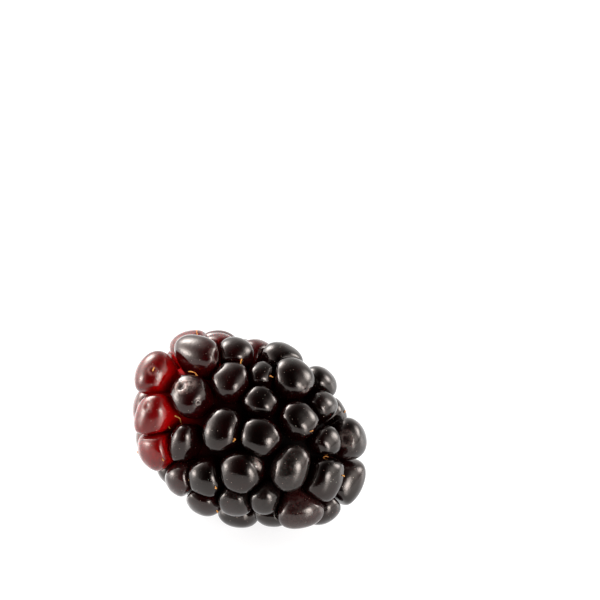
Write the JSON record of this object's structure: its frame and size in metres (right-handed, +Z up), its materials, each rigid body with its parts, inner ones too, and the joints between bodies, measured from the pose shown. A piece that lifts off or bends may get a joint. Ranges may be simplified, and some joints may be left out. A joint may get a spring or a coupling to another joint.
{
  "type": "bramble berry",
  "caption": "Picked ripe bramble berry lying on its side: plump glossy drupelets packed round a core, some still red at the stem end.",
  "frame": {"origin": "on the ground, under the centre of the bounding box of the berry as it lies on its side", "axes": "+Z up, +X from the stem end to the tip (the fruit's axis dips 8.5 degrees towards the tip), -Y the front"},
  "size_m": [0.0276, 0.0215, 0.0211],
  "materials": {
    "fruit_skin": "glossy near-black skin, with dark red drupelets at the stem end"
  },
  "bodies": {
    "root": {"berry": "fruit_skin"}
  },
  "joints": []
}
